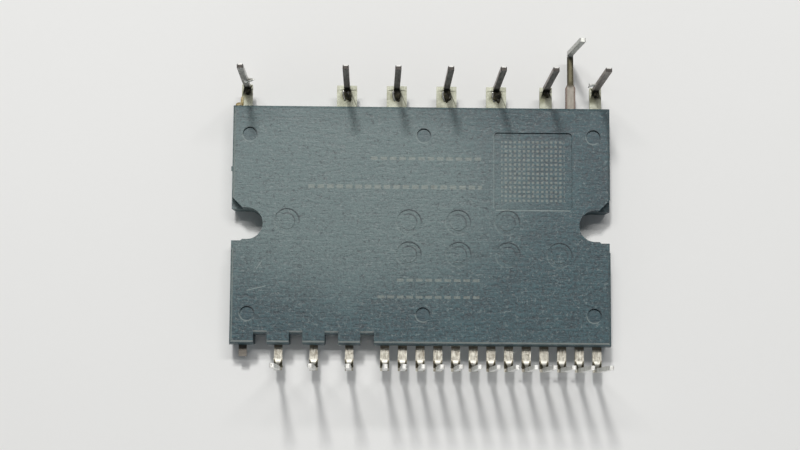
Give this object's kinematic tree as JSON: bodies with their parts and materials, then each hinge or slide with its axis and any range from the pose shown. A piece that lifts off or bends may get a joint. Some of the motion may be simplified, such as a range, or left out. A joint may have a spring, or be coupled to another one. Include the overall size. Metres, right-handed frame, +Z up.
{
  "type": "igbt module",
  "caption": "Moulded three-phase inverter power module in a dual-in-line package: flat block with screw slots and two rows of standing pins, one power lead bent outwards.",
  "frame": {"origin": "middle of the heat-sink face", "axes": "+X along the moulding, +Y towards the power leads, +Z up past the marking face, the way the pins point"},
  "size_m": [0.0385, 0.0329, 0.012],
  "materials": {
    "mould": "matt grey-blue filled epoxy, fine moulded texture",
    "tin": "dull tin plate with flux stains",
    "copper": "bare copper foil",
    "insulation": "filled resin sheet",
    "silicon": "polished silicon",
    "aluminium_wire": "drawn aluminium wire",
    "gold_wire": "drawn gold wire"
  },
  "bodies": {
    "root": {"mould_body": "mould", "heat_foil": "copper", "insulating_sheet": "insulation", "stub_lead": "tin", "control_lead_2": "tin", "control_lead_3": "tin", "control_lead_4": "tin", "control_lead_5": "tin", "control_lead_6": "tin", "control_lead_7": "tin", "control_lead_8": "tin", "control_lead_9": "tin", "control_lead_10": "tin", "control_lead_11": "tin", "control_lead_12": "tin", "control_lead_13": "tin", "control_lead_14": "tin", "control_lead_15": "tin", "control_lead_16": "tin", "control_lead_17": "tin", "nc_lead": "tin", "p_lead": "tin", "u_lead": "tin", "v_lead": "tin", "w_lead": "tin", "nu_lead": "tin", "nv_lead": "tin", "nw_lead": "tin", "igbt_high_u": "silicon", "igbt_high_v": "silicon", "igbt_high_w": "silicon", "igbt_low_u": "silicon", "igbt_low_v": "silicon", "igbt_low_w": "silicon", "diode_high_u": "silicon", "diode_high_v": "silicon", "diode_high_w": "silicon", "diode_low_u": "silicon", "diode_low_v": "silicon", "diode_low_w": "silicon", "driver_high_u": "silicon", "driver_high_v": "silicon", "driver_high_w": "silicon", "driver_low": "silicon", "boot_diode_u": "silicon", "boot_diode_v": "silicon", "boot_diode_w": "silicon", "wires_high_u": "aluminium_wire", "wires_high_v": "aluminium_wire", "wires_high_w": "aluminium_wire", "wires_low_u": "aluminium_wire", "wires_low_v": "aluminium_wire", "wires_low_w": "aluminium_wire", "control_wires": "gold_wire"}
  },
  "joints": []
}
